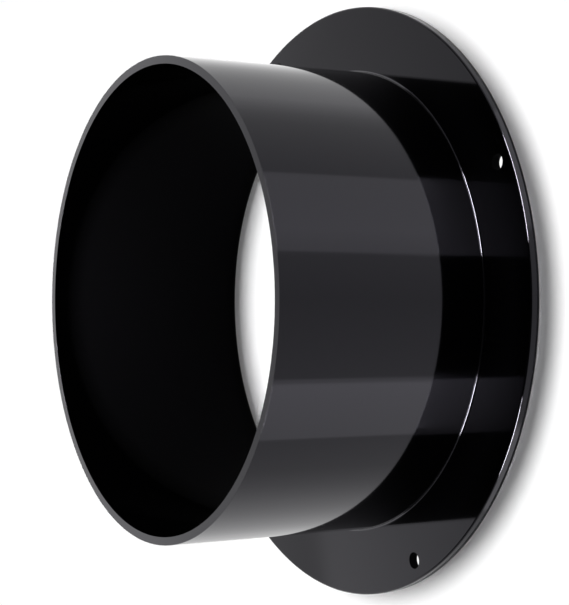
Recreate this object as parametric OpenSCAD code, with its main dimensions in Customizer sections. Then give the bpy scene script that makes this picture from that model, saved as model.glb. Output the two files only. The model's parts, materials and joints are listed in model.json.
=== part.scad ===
// Wall flange for round ducts: one gloss black plastic moulding, a straight sleeve that rises
// from a flat round plate. The plate is screwed to a wall or ceiling over a duct hole, and the
// duct slides over the sleeve or into it.
// Millimetres. z = 0 is the face against the wall, and +Z runs along the bore to the mouth.

/* [Sleeve] */
// Outside diameter of the sleeve, which a duct of this size slides over
sleeve_d = 150; // [80:1:200]
// Thickness of the sleeve's wall
wall = 2.5; // [1.6:0.1:4]
// Length of the whole part, from the wall face to the mouth
body_len = 73.5; // [40:0.5:160]
// Radius of the rounds on the mouth's outer and inner edges
mouth_round = 0.5; // [0.2:0.1:1.5]

/* [Plate] */
// Thickness of the plate
plate_t = 3; // [2:0.25:6]
// How far the plate reaches out past the sleeve, all round
plate_reach = 21; // [18:0.5:45]
// Radius of the round on the rim's front edge
rim_round = 0.5; // [0.2:0.1:1]
// Radius of the round on the rim's back edge, which lies against the wall
rim_back_round = 0.3; // [0.1:0.1:0.8]

/* [Corner between sleeve and plate] */
// Radius of the fillet outside, where the sleeve rises from the plate
corner_fillet = 0.6; // [0.3:0.1:3]
// Radius of the round inside, where the bore opens through the wall face
foot_round = 4.5; // [1:0.5:6]

/* [Screw holes] */
// Number of screw holes, evenly spaced
screw_count = 4; // [3:1:12]
// Diameter of each screw hole
screw_d = 5; // [3:0.1:6.5]
// Distance from the plate's rim in to the middle of each hole
screw_inset = 6; // [5:0.5:9]
// Size of the chamfer that breaks each end of a hole
screw_chamfer = 0.2; // [0.1:0.05:0.4]

/* [Hidden] */
$fn = 180;

sleeve_r = sleeve_d / 2;
bore_r = sleeve_r - wall;
plate_r = sleeve_r + plate_reach;
screw_circle_r = plate_r - screw_inset;

// A round is limited by the walls that meet at it
mouth_r = min(mouth_round, 0.4 * wall);
rim_r = min(rim_round, 0.4 * plate_t);
rim_back_r = min(rim_back_round, 0.4 * plate_t);
foot_r = min(foot_round, 1.8 * min(wall, plate_t));

// Every cut runs this far past the solid that it is cut from
over = 1;

// What a round takes off a corner that points to -X, -Y and lies at the origin
module corner_cut(r) {
    difference() {
        translate([-over, -over]) square(r + over);
        translate([r, r]) circle(r);
    }
}

// The same at a point of the section, mirrored for a corner that points to +X or +Y
module cut_at(x, z, r, to_x = -1, to_z = -1) {
    translate([x, z]) mirror([to_x > 0 ? 1 : 0, 0]) mirror([0, to_z > 0 ? 1 : 0]) corner_cut(r);
}

// The moulding's section, from the bore's wall outwards
module section() {
    difference() {
        union() {
            translate([bore_r, 0]) square([wall, body_len]);
            translate([bore_r, 0]) square([plate_r - bore_r, plate_t]);
            // Fillet between the plate's front and the sleeve
            difference() {
                translate([sleeve_r - over, plate_t - over]) square(corner_fillet + over);
                translate([sleeve_r + corner_fillet, plate_t + corner_fillet]) circle(corner_fillet);
            }
        }
        cut_at(bore_r, 0, foot_r);
        cut_at(bore_r, body_len, mouth_r, to_z = 1);
        cut_at(sleeve_r, body_len, mouth_r, to_x = 1, to_z = 1);
        cut_at(plate_r, plate_t, rim_r, to_x = 1, to_z = 1);
        cut_at(plate_r, 0, rim_back_r, to_x = 1);
    }
}

// One screw hole through the plate, with both of its edges broken
module screw_hole() {
    hole_r = screw_d / 2;
    translate([0, 0, -over]) cylinder(r = hole_r, h = plate_t + 2 * over);
    for (end = [0, 1])
        translate([0, 0, end * plate_t]) mirror([0, 0, end])
            translate([0, 0, -screw_chamfer])
                cylinder(r1 = hole_r + 2 * screw_chamfer, r2 = hole_r, h = 2 * screw_chamfer);
}

module wall_flange() {
    color([0.07, 0.07, 0.075]) difference() {
        rotate_extrude() section();
        for (i = [0 : screw_count - 1])
            rotate([0, 0, i * 360 / screw_count]) translate([screw_circle_r, 0, 0]) screw_hole();
    }
}

wall_flange();
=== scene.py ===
"""Duct wall flange: gloss black moulding on a white studio floor, wall face down."""
import json
import math

import bpy
from bpy.props import FloatProperty, FloatVectorProperty, IntProperty, PointerProperty
from mathutils import Matrix, Vector


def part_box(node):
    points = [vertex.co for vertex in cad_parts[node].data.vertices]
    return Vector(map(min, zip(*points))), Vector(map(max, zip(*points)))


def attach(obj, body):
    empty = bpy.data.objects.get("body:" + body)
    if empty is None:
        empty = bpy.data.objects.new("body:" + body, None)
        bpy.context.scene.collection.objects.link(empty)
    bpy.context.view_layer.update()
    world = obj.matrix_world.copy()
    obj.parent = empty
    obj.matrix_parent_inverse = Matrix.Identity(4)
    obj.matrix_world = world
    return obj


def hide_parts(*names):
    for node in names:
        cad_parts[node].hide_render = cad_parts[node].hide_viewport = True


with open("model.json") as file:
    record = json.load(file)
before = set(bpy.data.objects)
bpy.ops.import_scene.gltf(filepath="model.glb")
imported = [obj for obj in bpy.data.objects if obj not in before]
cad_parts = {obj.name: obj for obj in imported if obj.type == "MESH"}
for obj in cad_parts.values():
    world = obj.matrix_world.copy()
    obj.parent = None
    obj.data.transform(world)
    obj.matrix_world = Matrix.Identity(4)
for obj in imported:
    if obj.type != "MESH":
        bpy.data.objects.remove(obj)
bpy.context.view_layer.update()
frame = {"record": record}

bl_info = {
    "name": "Duct wall flange",
    "version": (1, 0, 0),
    "blender": (4, 5, 0),
    "location": "View3D > Sidebar > Duct flange",
    "description": "Gives the moulding its gloss plastic and sets up the studio round it",
    "category": "Object",
}

NODE = "wall_flange"
PLASTIC = "gloss_black_plastic"
MM = 0.001
TURN = 2 * math.pi
TOP_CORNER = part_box(NODE)[1]
MOUNTS = {m["name"]: m["dims"] for m in frame["record"]["mounts"]}

# Steps round each of the section's rounds
EDGE_STEPS = 8
RIM_BACK_STEPS = 6
FOOT_STEPS = 16
FILLET_STEPS = 10
HOLE_STEPS = 5
# Half the width of the square patch round a screw hole, in hole radii
PATCH_REACH = 1.6

# Waves per metre of the plastic's noises, and how far each swings round the plain value
MOTTLE_WAVES, MOTTLE_SWING = 240.0, 0.2
HAZE_WAVES, HAZE_SWING = 38.0, 0.3

# Thin gaps that keep the stage's flat pieces clear of the faces next to them
FLOOR_DROP = 0.02 * MM
COVER_GAP = 0.02 * MM
ROUND_CARD_HEIGHT = 0.05 * MM
SLEEVE_CARD_HEIGHT = 0.4 * MM
SLEEVE_CARD_GAP = 0.6 * MM

# How far the bore card reaches under the foot round, and the share of its level there: painted shade under
# the foot round, which only the gloss mirrors
BORE_CARD_REACH = 0.84
BORE_CARD_FOOT_SHADE = 0.3

# The backdrop in the gloss: elevation in degrees, and the level as a share of the brightest
BACKDROP_BRIGHTEST = 1.24
BACKDROP_STOPS = ((0, 0.8), (24, 1.0), (27, 0.9), (29.5, 0.66), (31.6, 0.45), (33.5, 0.40),
                  (35.5, 0.03), (90, 0.02))


def radians(*degrees):
    return tuple(math.radians(d) for d in degrees)


# Elevations between which the panels hang
STRIP_RISE = radians(34, 37.3)
STRIP_TOP_RISE = radians(37.3, 39.9)
EDGE_STRIP_RISE = radians(22.5, 34.5)
FRONT_FLAG_RISE = radians(0, 36)
SIDE_FLAG_RISE = radians(1, 22)
BACK_PANEL_RISE = radians(32.5, 39.5)
# Azimuths of the side flags from the eye's side, and of the back panel from the far side
SIDE_FLAG_SPAN = radians(62, 112)
BACK_PANEL_SPAN = radians(-25, 25)
# Levels at both ends of a panel's long edges
STRIP_TOP_LEVELS = (0.1, 0.1)
BACK_PANEL_LOW = (0.32, 1.05)
BACK_PANEL_HIGH = (0.35, 0.6)
# Distance of the panels from the part, with the edge strips in front of the front flag
PANEL_DISTANCE = 4.0
EDGE_STRIP_DISTANCE = 3.9

# Kinds of rays that an object can be hidden from
RAYS = ("camera", "diffuse", "glossy", "transmission", "volume_scatter", "shadow")

SENSOR_WIDTH = 36
CLIP_START, CLIP_END = 0.01, 50


class Sock:
    """A socket that can be used in a Python expression, which adds the Math nodes."""

    def __init__(self, tree, socket):
        self.tree, self.socket = tree, socket

    def output(self, name):
        """Another output of the same node."""
        return Sock(self.tree, self.socket.node.outputs[name])

    def math(self, operation, a, b):
        return add_node(self.tree, "ShaderNodeMath", {"operation": operation}, 0, {"0": a, "1": b})

    def most(self, other):
        return self.math("MAXIMUM", self, other)

    def __add__(self, other): return self.math("ADD", self, other)
    def __radd__(self, other): return self.math("ADD", other, self)
    def __mul__(self, other): return self.math("MULTIPLY", self, other)
    def __rmul__(self, other): return self.math("MULTIPLY", other, self)


def add_node(tree, kind, settings=None, out=0, inputs=None):
    """Adds a node, first its settings, then its sockets' values or links, and gives one output."""
    node = tree.nodes.new(kind)
    for key, value in (settings or {}).items():
        if key == "stops":
            ramp = node.color_ramp
            while len(ramp.elements) < len(value):
                ramp.elements.new(1.0)
            for element, (place, shade) in zip(ramp.elements, value):
                element.position = place
                element.color = grey(shade)
        else:
            setattr(node, key, value)
    for key, value in (inputs or {}).items():
        socket = node.inputs[int(key) if key.isdigit() else key]
        if isinstance(value, Sock):
            tree.links.new(value.socket, socket)
        else:
            socket.default_value = value
    return Sock(tree, node.outputs[out]) if len(node.outputs) else node


def new_material(name):
    material = bpy.data.materials.new(name)
    material.use_nodes = True
    material.node_tree.nodes.clear()
    return material, material.node_tree


def grey(value):
    return (value, value, value, 1.0)


def blend(tree, share, first, second):
    """A colour between two, by a share from 0 to 1."""
    return add_node(tree, "ShaderNodeMix", {"data_type": "RGBA"}, 2, {"0": share, "6": first, "7": second})


def seen(tree):
    """1 on a ray that shows the surface to the eye, straight or in a mirror, and 0 on one that it lights."""
    eye = add_node(tree, "ShaderNodeLightPath", out="Is Camera Ray")
    return eye.most(eye.output("Is Glossy Ray")).most(eye.output("Is Transmission Ray"))


def length(name, description, default):
    return FloatProperty(name=name, description=description, subtype="DISTANCE", unit="LENGTH",
                         min=0, max=0.5, default=default)


def angle(name, description, degrees):
    return FloatProperty(name=name, description=description, subtype="ANGLE", unit="ROTATION",
                         min=-math.pi, max=math.pi, default=math.radians(degrees))


def angle_pair(name, description, first, last):
    return FloatVectorProperty(name=name, description=description, unit="ROTATION", size=2,
                               min=-math.pi, max=math.pi, default=radians(first, last))


def level(name, description, default):
    return FloatProperty(name=name, description=description, min=0, max=100, default=default)


def level_pair(name, description, first, last):
    return FloatVectorProperty(name=name, description=description, size=2,
                               min=0, max=100, default=(first, last))


class MouldingSettings(bpy.types.PropertyGroup):
    sleeve_r: length("Sleeve radius", "Outside radius of the sleeve", MOUNTS["duct_sleeve"]["r_mm"] * MM)
    bore_r: length("Bore radius", "Inside radius of the sleeve", MOUNTS["duct_bore"]["r_mm"] * MM)
    height: length("Length", "From the wall face to the mouth", TOP_CORNER.z)
    plate_r: length("Plate radius", "Outside radius of the plate", min(TOP_CORNER.x, TOP_CORNER.y))
    plate_t: length("Plate thickness", "Thickness of the plate", 3 * MM)
    mouth_round: length("Mouth round", "Radius of the rounds on the mouth's two edges", 0.03 * MM)
    rim_round: length("Rim round", "Radius of the round on the rim's front edge", 0.5 * MM)
    rim_back_round: length("Rim back round", "Radius of the round on the rim's back edge", 0.3 * MM)
    fillet: length("Corner fillet", "Radius of the fillet between the sleeve and the plate", 0.6 * MM)
    foot_round: length("Foot round", "Radius of the round where the bore meets the wall face", 4.5 * MM)
    screw_circle_r: length("Screw circle radius", "Radius of the circle that the screw holes lie on",
                           MOUNTS["wall_screws"]["pcd_mm"] * MM / 2)
    hole_r: length("Screw hole radius", "Radius of each screw hole", MOUNTS["wall_screws"]["hole_r_mm"] * MM)
    hole_round: length("Screw hole round", "Radius of the round on each edge of a hole", 0.06 * MM)
    holes: IntProperty(name="Screw holes", description="Number of screw holes, evenly spaced",
                       min=0, max=12, default=MOUNTS["wall_screws"]["count"])


class PlasticSettings(bpy.types.PropertyGroup):
    colour: FloatVectorProperty(
        name="Plastic colour", description="Colour of the black plastic under its gloss",
        subtype="COLOR", size=3, min=0, max=1, default=(0.0004, 0.0004, 0.0005))
    gloss: FloatProperty(
        name="Refractive index", description="How strongly the polished surface mirrors the room",
        min=1.3, max=2, default=1.54)
    sheen: FloatVectorProperty(
        name="Sheen tint", description="Tint of what the polished surface mirrors",
        subtype="COLOR", size=3, min=0, max=1, default=(0.88, 0.855, 1.0))
    roughness: FloatProperty(
        name="Roughness", description="Blur of the mirror image in the polished surface",
        subtype="FACTOR", min=0, max=1, default=0.058)
    ripple: length("Ripple height", "Height of the long waves that the mould's polish leaves", 0.000004)
    ripple_length: length("Ripple length", "Distance between those waves", 0.030)


class StudioSettings(bpy.types.PropertyGroup):
    floor_colour: FloatVectorProperty(
        name="Floor colour", description="Colour of the floor",
        subtype="COLOR", size=3, min=0, max=1, default=(0.9, 0.9, 0.9))
    floor_glow: level("Floor glow", "How much brighter than its lit colour the floor shows", 0.11)
    fill_level: level("Fill level", "Even light from all round, which sets how deep the shadow is", 0.04)
    key_level: level("Key level", "Light of the key lamp on the floor, where 1 shows a colour as it is",
                     0.975)
    key_azimuth: angle("Key azimuth", "Side that the key lamp stands on, anticlockwise from +X", 65.4)
    key_elevation: angle("Key elevation", "Height of the key lamp above the horizon", 85.7)
    key_softness: angle("Key softness", "Angle that the key lamp spans, which softens the shadow", 11.4)
    flag_height: length("Flag height", "Height of the ring that shades the floor along the rim", 47 * MM)
    flag_inner_r: length("Flag inner radius", "Inside radius of that ring", 82 * MM)
    flag_outer_r: length("Flag outer radius", "Outside radius of that ring", 93.5 * MM)
    flag_shift: length("Flag shift", "How far that ring stands off centre", 6.6 * MM)
    flag_azimuth: angle("Flag azimuth", "Side to which that ring stands off centre", -132.0)
    # On the cards under the holes this level is painted shade, which only the gloss mirrors; the dark panels
    # are flags in the air
    dark_level: level("Dark level", "Level of the dark cards under the holes and of the dark panels", 0.03)
    # Painted shade: the card under the bore is dark where the floor is lit, and only the gloss mirrors it
    bore_card: level_pair("Bore card", "Levels of the card under the bore, at its far and its near side",
                          0.02, 0.09)
    upper_band: angle_pair("First bright band", "Turns round the sleeve where the band starts and ends",
                           10.0, 27.9)
    lower_band: angle_pair("Second bright band", "Turns round the sleeve where the band starts and ends",
                           -31.3, -17.4)
    upper_strip: level_pair("First strip light", "Levels at both ends of the strip light for the band",
                            2.4, 1.0)
    lower_strip: level_pair("Second strip light", "Levels at both ends of the strip light for the band",
                            1.3, 4.9)
    upper_edge: angle_pair("First edge light",
                           "Azimuths from the eye's side where the edge strip starts and ends", 21.6, 61.0)
    lower_edge: angle_pair("Second edge light",
                           "Azimuths from the eye's side where the edge strip starts and ends", -64.0, -35.5)
    edge_levels: level_pair("Edge light levels", "Levels of both edge strips at their inner and outer end",
                            90.0, 75.0)


class CameraSettings(bpy.types.PropertyGroup):
    position: FloatVectorProperty(
        name="Position", description="Where the camera stands",
        subtype="TRANSLATION", unit="LENGTH", size=3, default=(-0.208524, -0.416413, 0.314121))
    aim: FloatVectorProperty(
        name="Aim", description="Point that the middle of the picture shows",
        subtype="TRANSLATION", unit="LENGTH", size=3, default=(-0.000543, 0.000271, 0.025423))
    roll: angle("Roll", "Turn of the camera about its own axis", -89.944)
    lens: FloatProperty(
        name="Lens", description="Focal length for a sensor 36 mm long",
        subtype="DISTANCE_CAMERA", unit="CAMERA", min=10, max=500, default=100.926)


def around(steps):
    """Directions evenly round a circle."""
    return [(math.cos(TURN * i / steps), math.sin(TURN * i / steps)) for i in range(steps)]


def bend(middle, radius, start, end, steps, hollow=False):
    """Points of a round in the section, each with its outward normal, from one angle to another."""
    way = -1 if hollow else 1
    points = []
    for i in range(steps + 1):
        a = math.radians(start + (end - start) * i / steps)
        points.append((middle[0] + radius * math.cos(a), middle[1] + radius * math.sin(a),
                       way * math.cos(a), way * math.sin(a)))
    return points


def flat(start, end, steps):
    """Points between two places on a flat face, which looks up if they lead inwards and else down."""
    up = 1 if start[0] > end[0] else -1
    return [(start[0] + (end[0] - start[0]) * i / steps, start[1], 0.0, up) for i in range(steps + 1)]


def moulding_section(s, inner, outer, rows):
    """The closed section as (radius, height, normal) points, and the first row of holes on each face."""
    r, b, p, t, h = s.sleeve_r, s.bore_r, s.plate_r, s.plate_t, s.height
    points = bend((r - s.mouth_round, h - s.mouth_round), s.mouth_round, 0, 90, EDGE_STEPS)
    points += bend((b + s.mouth_round, h - s.mouth_round), s.mouth_round, 90, 180, EDGE_STEPS)
    points += bend((b + s.foot_round, s.foot_round), s.foot_round, 180, 270, FOOT_STEPS)
    back = len(points)
    points += flat((inner, 0), (outer, 0), rows)
    points += bend((p - s.rim_back_round, s.rim_back_round), s.rim_back_round, 270, 360, RIM_BACK_STEPS)
    points += bend((p - s.rim_round, t - s.rim_round), s.rim_round, 0, 90, EDGE_STEPS)
    front = len(points)
    points += flat((outer, t), (inner, t), rows)
    points += bend((r + s.fillet, t + s.fillet), s.fillet, 270, 180, FILLET_STEPS, hollow=True)
    return points, back, front


def moulding_mesh(s, segments=720, side=12, patch=3):
    """Sleeve and plate in one skin, with the screw holes let into both faces of the plate.

    The skin has this many segments round the axis. Round each hole a square of side by side faces
    is left out, and rings fill it up to the hole, with this many of them between square and hole."""
    half = side // 2
    reach = s.hole_r * PATCH_REACH
    inner, outer = s.screw_circle_r - reach, s.screw_circle_r + reach
    section, back, front = moulding_section(s, inner, outer, side)
    verts, normals, faces = [], [], []
    for r, z, nr, nz in section:
        for x, y in around(segments):
            verts.append((r * x, r * y, z))
            normals.append((nr * x, nr * y, nz))

    def at(row, step):
        return row % len(section) * segments + step % segments

    middles = [round(segments * k / s.holes) for k in range(s.holes)]
    for row in range(len(section)):
        holed = back <= row < back + side or front <= row < front + side
        for i in range(segments):
            if holed and any((i - m + half) % segments < side for m in middles):
                continue
            faces.append((at(row, i), at(row, i + 1), at(row + 1, i + 1), at(row + 1, i)))

    for m in middles:
        # Edges of the square patch, once round, anticlockwise seen from above
        walk = [(0, -half + k) for k in range(side)] + [(k, half) for k in range(side)]
        walk += [(side, half - k) for k in range(side)] + [(side - k, -half) for k in range(side)]
        top = [at(front + k, m + i) for k, i in walk]
        bottom = [at(back + side - k, m + i) for k, i in walk]
        count = len(walk)
        a = TURN * m / segments
        centre = (s.screw_circle_r * math.cos(a), s.screw_circle_r * math.sin(a))
        # The walk starts at a corner, an eighth of a turn back
        turns = [a + TURN * (k / count - 0.125) for k in range(count)]
        ways = [(math.cos(turn), math.sin(turn)) for turn in turns]
        edge = s.hole_r + s.hole_round
        rings = [top]

        def add_ring(place, normal):
            ring = []
            for k in range(count):
                ring.append(len(verts))
                verts.append(place(k))
                normals.append(normal(k))
            rings.append(ring)

        def patch_ring(border, z, nz, share):
            def place(k):
                x, y, _ = verts[border[k]]
                return (x + (centre[0] + edge * ways[k][0] - x) * share,
                        y + (centre[1] + edge * ways[k][1] - y) * share, z)
            add_ring(place, lambda k: (0.0, 0.0, nz))

        for i in range(1, patch + 1):
            patch_ring(top, s.plate_t, 1.0, i / (patch + 1))
        wall = bend((edge, s.plate_t - s.hole_round), s.hole_round, 90, 180, HOLE_STEPS)
        wall += bend((edge, s.hole_round), s.hole_round, 180, 270, HOLE_STEPS)
        for r, z, nr, nz in wall:
            add_ring(lambda k: (centre[0] + r * ways[k][0], centre[1] + r * ways[k][1], z),
                     lambda k: (nr * ways[k][0], nr * ways[k][1], nz))
        for i in range(patch, 0, -1):
            patch_ring(bottom, 0.0, -1.0, i / (patch + 1))
        rings.append(bottom)
        for one, two in zip(rings, rings[1:]):
            for k in range(count):
                nxt = (k + 1) % count
                faces.append((one[k], one[nxt], two[nxt], two[k]))

    used = sorted({v for face in faces for v in face})
    place = {old: new for new, old in enumerate(used)}
    mesh = bpy.data.meshes.new("flange_moulding")
    mesh.from_pydata([verts[v] for v in used], [], [tuple(place[v] for v in face) for face in faces])
    mesh.shade_smooth()
    mesh.normals_split_custom_set_from_vertices([normals[v] for v in used])
    mesh.validate()
    return mesh


class FLANGE_OT_moulding(bpy.types.Operator):
    """Make the moulding in gloss black plastic, sleeve and plate in one"""
    bl_idname = "flange.moulding"
    bl_label = "Make moulding"

    def execute(self, context):
        piece = bpy.data.objects.new("flange_moulding", moulding_mesh(context.scene.flange_sizes))
        context.scene.collection.objects.link(piece)
        piece.data.materials.append(self.plastic(context.scene.flange_plastic))
        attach(piece, "root")
        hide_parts(NODE)
        return {"FINISHED"}

    def plastic(self, s):
        """Black under a polished skin, with faint mottle, haze and long ripples."""
        material, tree = new_material(PLASTIC)
        where = add_node(tree, "ShaderNodeTexCoord", out="Object")

        def noise(scale, detail, rough=0.5):
            return add_node(tree, "ShaderNodeTexNoise", None, "Fac", {
                "Vector": where, "Scale": scale, "Detail": detail, "Roughness": rough})

        ripple = noise(1 / s.ripple_length, 1.0)
        mottle = noise(MOTTLE_WAVES, 3.0)
        haze = noise(HAZE_WAVES, 4.0, 0.6)
        rough = s.roughness * (1 - HAZE_SWING + 2 * HAZE_SWING * haze)
        darker, lighter = (tuple(share * c for c in s.colour) + (1,)
                           for share in (1 - MOTTLE_SWING, 1 + MOTTLE_SWING))
        tint = blend(tree, mottle, darker, lighter)
        bump = add_node(tree, "ShaderNodeBump", None, 0, {
            "Strength": 1.0, "Distance": s.ripple, "Height": ripple})
        shader = add_node(tree, "ShaderNodeBsdfPrincipled", None, 0, {
            "Base Color": tint, "Roughness": rough, "IOR": s.gloss, "Specular Tint": (*s.sheen, 1),
            "Normal": bump})
        add_node(tree, "ShaderNodeOutputMaterial", None, 0, {"Surface": shader})
        return material


def stage_object(name, mesh, seen_by=RAYS):
    """Adds an object to the stage that only these kinds of rays meet."""
    thing = bpy.data.objects.new(name, mesh)
    bpy.context.scene.collection.objects.link(thing)
    for ray in RAYS:
        setattr(thing, "visible_" + ray, ray in seen_by)


def disk(name, middle, radius, height, steps):
    """The mesh of a flat round face."""
    mesh = bpy.data.meshes.new(name)
    mesh.from_pydata([(middle[0] + radius * x, middle[1] + radius * y, height) for x, y in around(steps)],
                     [], [tuple(range(steps))])
    return mesh


def direction(azimuth, elevation):
    """The way to a place on the sky."""
    return Vector((math.cos(azimuth) * math.cos(elevation), math.sin(azimuth) * math.cos(elevation),
                   math.sin(elevation)))


def glow_card(name, verts, faces, levels, white=False):
    """A card that only the gloss mirrors, and that puts no light on the object. There is a level for
    each corner. A white card shows plain white to the eye."""
    mesh = bpy.data.meshes.new(name)
    mesh.from_pydata(verts, [], faces)
    mesh.attributes.new("level", "FLOAT", "POINT").data.foreach_set("value", levels)
    material, tree = new_material(name)
    colour = add_node(tree, "ShaderNodeAttribute", {"attribute_name": "level"}, "Color")
    if white:
        colour = blend(tree, add_node(tree, "ShaderNodeLightPath", out="Is Camera Ray"), colour, grey(1))
    glow = add_node(tree, "ShaderNodeBsdfPrincipled", None, 0, {
        "Base Color": grey(0), "Specular IOR Level": 0.0, "Emission Color": colour,
        "Emission Strength": 1.0})
    add_node(tree, "ShaderNodeOutputMaterial", None, 0, {"Surface": glow})
    mesh.materials.append(material)
    stage_object(name, mesh, ("glossy", "camera") if white else ("glossy",))


def ribbon(count, edge_points):
    """Corners, faces and levels of a strip between two edges. edge_points gives both ends of a rung."""
    verts, faces, values = [], [], []
    for i in range(count + 1):
        for place, value in edge_points(i):
            verts.append(tuple(place))
            values.append(value)
        if i:
            k = 2 * i
            faces.append((k - 2, k - 1, k + 1, k))
    return verts, faces, values


def mirrored(turn, eye, radius):
    """Foot on the sleeve at this turn, and the horizontal direction in which the eye looks off it."""
    foot = Vector((math.cos(turn), math.sin(turn))) * radius
    to_eye = math.atan2(eye.y - foot.y, eye.x - foot.x)
    return foot, 2 * turn - to_eye


def sleeve_stops(upper_band, lower_band):
    """Stops of the card that the sleeve mirrors, each a turn from the eye's side, in degrees, and a level.
    Each bright band lies between two quick steps of the level."""
    a, b = upper_band
    c, d = lower_band
    return ((-84, 0.65), (-78, 0.78), (-75, 0.84), (-70, 0.99), (-60, 0.95), (-51, 0.81), (-45, 0.66),
            (-40, 0.57),
            (c - 0.4, 0.59), (c + 0.4, 0.99), (-24, 1.20), (d - 1.2, 1.36), (d + 0.8, 0.55),
            (0, 0.46),
            (a - 0.6, 0.53), (a + 0.6, 0.94), (15, 1.05), (b - 0.5, 0.91), (b + 0.5, 0.56),
            (42, 0.59), (45, 0.66), (51, 0.95), (60, 0.88), (66, 0.94), (71, 1.14), (84, 1.28))


def floor_card(name, stops, eye, sizes, reach=0.6, widest_step=1.5):
    """A card on the floor, seen in the sleeve. It reaches outwards from just outside the rim.
    Between its stops its level changes evenly, in steps of no more than the widest, in degrees."""
    rungs = []
    for (start, low), (end, high) in zip(stops, stops[1:]):
        count = max(1, math.ceil(abs(end - start) / widest_step))
        rungs += [(start + (end - start) * k / count, low + (high - low) * k / count) for k in range(count)]
    rungs.append(stops[-1])
    front = math.atan2(eye.y, eye.x)
    outside = sizes.plate_r + SLEEVE_CARD_GAP

    def edge_points(i):
        turn, value = rungs[i]
        foot, heading = mirrored(front + math.radians(turn), eye, sizes.sleeve_r)
        way = Vector((math.cos(heading), math.sin(heading)))
        along = foot.dot(way)
        near = math.sqrt(along ** 2 - foot.length_squared + outside ** 2) - along
        lift = Vector((0, 0, SLEEVE_CARD_HEIGHT))
        return [((foot + way * far).to_3d() + lift, value) for far in (near, near + reach)]

    glow_card(name, *ribbon(len(rungs) - 1, edge_points))


def round_card(name, middle, radius, front, levels, edge=1.0, white=False, inner=0.8, steps=96):
    """A round card just over the floor, with one level at its far side and one at its near side.
    Outside its inner share it fades to a share of that, its edge."""
    far, near = levels
    verts, values, faces = [(*middle, ROUND_CARD_HEIGHT)], [(far + near) / 2], []
    for reach, share in ((inner, 1.0), (1.0, edge)):
        for c, n in around(steps):
            x, y = c * reach, n * reach
            verts.append((middle[0] + radius * x, middle[1] + radius * y, ROUND_CARD_HEIGHT))
            toward = 0.5 + 0.5 * (x * math.cos(front) + y * math.sin(front))
            values.append((far + (near - far) * toward) * share)
    for i in range(steps):
        k, nxt = 1 + i, 1 + (i + 1) % steps
        faces += [(0, k, nxt), (k, k + steps, nxt + steps, nxt)]
    glow_card(name, verts, faces, values, white)


def panel(name, azimuths, elevations, low_levels, high_levels, distance=PANEL_DISTANCE, steps=16):
    """A curved panel in the air, seen in the gloss. Its levels are given at both ends of each long edge."""
    def edge_points(i):
        share = i / steps
        azimuth = azimuths[0] + (azimuths[1] - azimuths[0]) * share
        return [(direction(azimuth, elevation) * distance, ends[0] + (ends[1] - ends[0]) * share)
                for elevation, ends in zip(elevations, (low_levels, high_levels))]

    glow_card(name, *ribbon(steps, edge_points))


def hole_cover(name, middle, radius, height):
    """A disk over a screw hole that only the gloss mirrors, so that the sleeve mirrors a closed plate."""
    mesh = disk(name, middle, radius, height, 32)
    mesh.materials.append(bpy.data.materials[PLASTIC])
    stage_object(name, mesh, ("glossy",))


def ring_flag(name, middle, inner, outer, height, steps=144):
    """A dark ring over the rim, which nothing shows, and which shades the floor along the rim."""
    verts = [(middle.x + r * x, middle.y + r * y, height) for x, y in around(steps) for r in (inner, outer)]
    count = len(verts)
    mesh = bpy.data.meshes.new(name)
    mesh.from_pydata(verts, [], [(k, k + 1, (k + 3) % count, (k + 2) % count) for k in range(0, count, 2)])
    material, tree = new_material(name)
    shader = add_node(tree, "ShaderNodeBsdfPrincipled", None, 0, {
        "Base Color": grey(0), "Specular IOR Level": 0.0})
    add_node(tree, "ShaderNodeOutputMaterial", None, 0, {"Surface": shader})
    mesh.materials.append(material)
    stage_object(name, mesh, ("shadow",))


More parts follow.
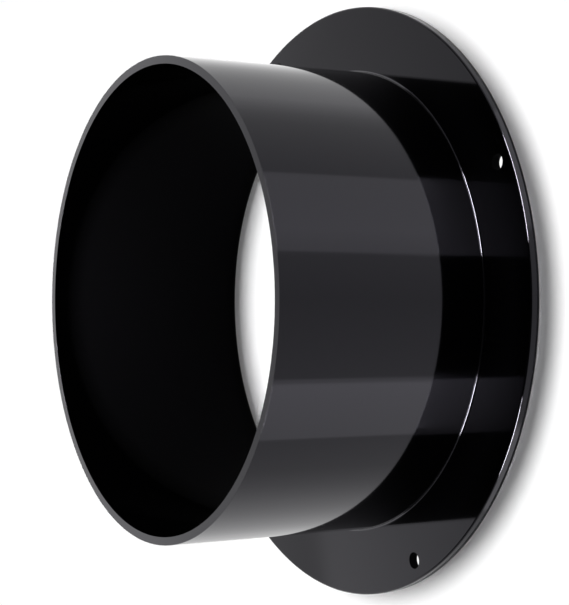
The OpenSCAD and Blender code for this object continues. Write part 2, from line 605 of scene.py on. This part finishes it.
class FLANGE_OT_studio(bpy.types.Operator):
    """Lay the white floor, hang the backdrop, and set the key lamp, the cards and the panels"""
    bl_idname = "flange.studio"
    bl_label = "Set up studio"

    def execute(self, context):
        s, sizes = context.scene.flange_studio, context.scene.flange_sizes
        eye = Vector(context.scene.flange_camera.position)
        self.floor(s)
        self.backdrop(context, s)
        self.key(s)
        self.floor_cards(s, sizes, eye)
        self.panels(s, sizes, eye)
        return {"FINISHED"}

    def floor(self, s, radius=6.0, steps=96):
        """A pale round floor that takes the part's shadow and shows white to the eye and in the gloss."""
        material, tree = new_material("white_floor")
        glow = blend(tree, seen(tree), grey(0), grey(s.floor_glow))
        shader = add_node(tree, "ShaderNodeBsdfPrincipled", None, 0, {
            "Base Color": (*s.floor_colour, 1), "Roughness": 1.0, "Specular IOR Level": 0.0,
            "Emission Color": glow, "Emission Strength": 1.0})
        add_node(tree, "ShaderNodeOutputMaterial", None, 0, {"Surface": shader})
        mesh = disk("floor", (0, 0), radius, -FLOOR_DROP, steps)
        mesh.materials.append(material)
        stage_object("floor", mesh)

    def backdrop(self, context, s):
        """White for the eye and darker upwards in the gloss, with an even fill for the light."""
        world = bpy.data.worlds.new("studio")
        context.scene.world = world
        world.use_nodes = True
        tree = world.node_tree
        tree.nodes.clear()
        way = add_node(tree, "ShaderNodeTexCoord", out="Generated")
        height = add_node(tree, "ShaderNodeSeparateXYZ", None, 2, {"Vector": way})
        stops = [(math.sin(math.radians(elevation)), share) for elevation, share in BACKDROP_STOPS]
        wall = add_node(tree, "ShaderNodeValToRGB", {"stops": stops}, 0, {"Fac": height})
        colour = blend(tree, seen(tree), grey(s.fill_level / BACKDROP_BRIGHTEST), wall)
        glow = add_node(tree, "ShaderNodeBackground", None, 0, {
            "Color": colour, "Strength": BACKDROP_BRIGHTEST})
        add_node(tree, "ShaderNodeOutputWorld", None, 0, {"Surface": glow})

    def key(self, s):
        """The lamp high behind the part, and the ring that gives the soft shadow along the rim.
        The gloss mirrors the cards instead of the lamp."""
        lamp = bpy.data.lights.new("key", "SUN")
        lamp.angle = s.key_softness
        lamp.energy = s.key_level * math.pi / math.sin(s.key_elevation)
        holder = bpy.data.objects.new("key", lamp)
        back = direction(s.key_azimuth, s.key_elevation)
        holder.rotation_mode = "QUATERNION"
        holder.rotation_quaternion = back.to_track_quat("Z", "Y")
        holder.location = back
        holder.visible_glossy = holder.visible_camera = False
        bpy.context.scene.collection.objects.link(holder)
        away = Vector((math.cos(s.flag_azimuth), math.sin(s.flag_azimuth))) * s.flag_shift
        ring_flag("shadow_flag", away, s.flag_inner_r, s.flag_outer_r, s.flag_height)

    def floor_cards(self, s, sizes, eye):
        """The cards that the sleeve, the bore and the walls of the holes mirror."""
        front = math.atan2(eye.y, eye.x)
        bands = [[math.degrees(turn) for turn in band] for band in (s.upper_band, s.lower_band)]
        floor_card("sleeve_card", sleeve_stops(*bands), eye, sizes)
        # Painted shade: a dark card over the lit floor in the bore, darker towards its edge under the foot
        # round, which the bore's walls mirror in place of the floor
        round_card("bore_card", (0, 0), sizes.bore_r + BORE_CARD_REACH * sizes.foot_round, front,
                   s.bore_card, BORE_CARD_FOOT_SHADE)
        dark = (s.dark_level, s.dark_level)
        for k in range(sizes.holes):
            turn = TURN * k / sizes.holes
            middle = (sizes.screw_circle_r * math.cos(turn), sizes.screw_circle_r * math.sin(turn))
            # Painted light and shade: each hole card shows plain white to the eye, with none of the hole's
            # shade, and the dark level in the gloss, so the hole's walls mirror shade
            round_card(f"hole_card_{k}", middle, sizes.hole_r, front, dark, white=True)
            hole_cover(f"hole_cover_{k}", middle, sizes.hole_r + sizes.hole_round,
                       sizes.plate_t + COVER_GAP)

    def panels(self, s, sizes, eye):
        """A strip light for each bright band, with a stronger one below it for the thin highlights
        of the rim and the corner, and the panels beside and behind them."""
        front = math.atan2(eye.y, eye.x)
        inner_ends = []
        for name, band, levels, edge in (("upper_strip", s.upper_band, s.upper_strip, s.upper_edge),
                                         ("lower_strip", s.lower_band, s.lower_strip, s.lower_edge)):
            above = band[0] > 0
            azimuths = [mirrored(front + turn, eye, sizes.sleeve_r)[1] for turn in band]
            edge_azimuths = [front + azimuth for azimuth in edge]
            edge_levels = tuple(s.edge_levels) if above else tuple(s.edge_levels)[::-1]
            panel(name + "_edge", edge_azimuths, EDGE_STRIP_RISE, edge_levels, edge_levels,
                  EDGE_STRIP_DISTANCE)
            panel(name, azimuths, STRIP_RISE, levels, levels)
            panel(name + "_top", azimuths, STRIP_TOP_RISE, levels, STRIP_TOP_LEVELS)
            inner_ends.append(azimuths[0] if above else azimuths[1])
        dark = (s.dark_level, s.dark_level)
        near, far = SIDE_FLAG_SPAN
        panel("front_flag", inner_ends, FRONT_FLAG_RISE, dark, dark)
        panel("upper_flag", (front + near, front + far), SIDE_FLAG_RISE, dark, dark)
        panel("lower_flag", (front - far, front - near), SIDE_FLAG_RISE, dark, dark)
        panel("back_panel", [front + math.pi + azimuth for azimuth in BACK_PANEL_SPAN], BACK_PANEL_RISE,
              BACK_PANEL_LOW, BACK_PANEL_HIGH)


class FLANGE_OT_camera(bpy.types.Operator):
    """Put the camera where the photograph was taken from"""
    bl_idname = "flange.camera"
    bl_label = "Place camera"

    def execute(self, context):
        s = context.scene.flange_camera
        data = bpy.data.cameras.new("camera")
        data.lens = s.lens
        data.sensor_width = SENSOR_WIDTH
        data.clip_start, data.clip_end = CLIP_START, CLIP_END
        camera = bpy.data.objects.new("camera", data)
        context.scene.collection.objects.link(camera)
        position = Vector(s.position)
        back = (position - Vector(s.aim)).normalized()
        right = Vector((0, 0, 1)).cross(back).normalized()
        upright = Matrix((right, back.cross(right), back)).transposed()
        turned = upright @ Matrix.Rotation(s.roll, 3, "Z")
        camera.matrix_world = Matrix.Translation(position) @ turned.to_4x4()
        context.scene.camera = camera
        return {"FINISHED"}


class FLANGE_PT_panel(bpy.types.Panel):
    bl_label = "Duct wall flange"
    bl_idname = "FLANGE_PT_panel"
    bl_space_type = "VIEW_3D"
    bl_region_type = "UI"
    bl_category = "Duct flange"

    def draw(self, context):
        for operator, groups in ((FLANGE_OT_camera, ("flange_camera",)),
                                 (FLANGE_OT_moulding, ("flange_sizes", "flange_plastic")),
                                 (FLANGE_OT_studio, ("flange_studio",))):
            box = self.layout.box()
            for group in groups:
                settings = getattr(context.scene, group)
                for name in settings.bl_rna.properties.keys():
                    if name not in ("rna_type", "name"):
                        box.prop(settings, name)
            box.operator(operator.bl_idname)


CLASSES = (MouldingSettings, PlasticSettings, StudioSettings, CameraSettings,
           FLANGE_OT_camera, FLANGE_OT_moulding, FLANGE_OT_studio, FLANGE_PT_panel)
GROUPS = {"flange_sizes": MouldingSettings, "flange_plastic": PlasticSettings,
          "flange_studio": StudioSettings, "flange_camera": CameraSettings}


def register():
    for cls in CLASSES:
        bpy.utils.register_class(cls)
    for name, group in GROUPS.items():
        setattr(bpy.types.Scene, name, PointerProperty(type=group))


def unregister():
    for name in GROUPS:
        delattr(bpy.types.Scene, name)
    for cls in reversed(CLASSES):
        bpy.utils.unregister_class(cls)


def main():
    register()
    bpy.context.scene.view_settings.view_transform = "Standard"
    bpy.ops.flange.camera()
    bpy.ops.flange.moulding()
    bpy.ops.flange.studio()
    bpy.context.view_layer.update()


if __name__ == "__main__":
    main()
